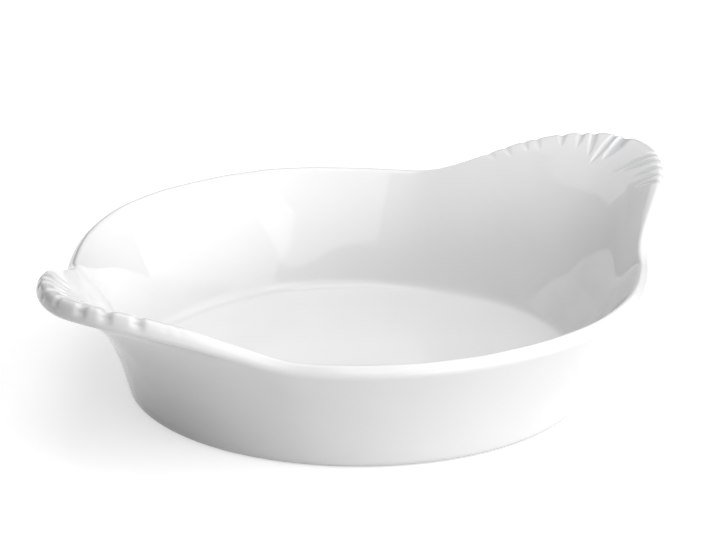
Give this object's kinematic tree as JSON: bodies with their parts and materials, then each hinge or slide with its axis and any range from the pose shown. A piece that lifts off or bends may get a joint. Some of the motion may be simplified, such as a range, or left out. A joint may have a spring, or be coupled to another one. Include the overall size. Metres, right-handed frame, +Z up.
{
  "type": "egg dish",
  "caption": "Round shallow porcelain baking dish with a flared wall, a rounded lip and two upswept fluted ears for lifting it from the oven.",
  "frame": {"origin": "middle of the foot ring, in the plane that the dish stands on", "axes": "+Z up; +X towards one ear and -X towards the other; +Y square to the ears"},
  "size_m": [0.1892, 0.15, 0.0449],
  "materials": {
    "glazed_porcelain": "white gloss glaze, foot ring's standing face unglazed"
  },
  "bodies": {
    "root": {"dish_body": "glazed_porcelain"}
  },
  "joints": []
}
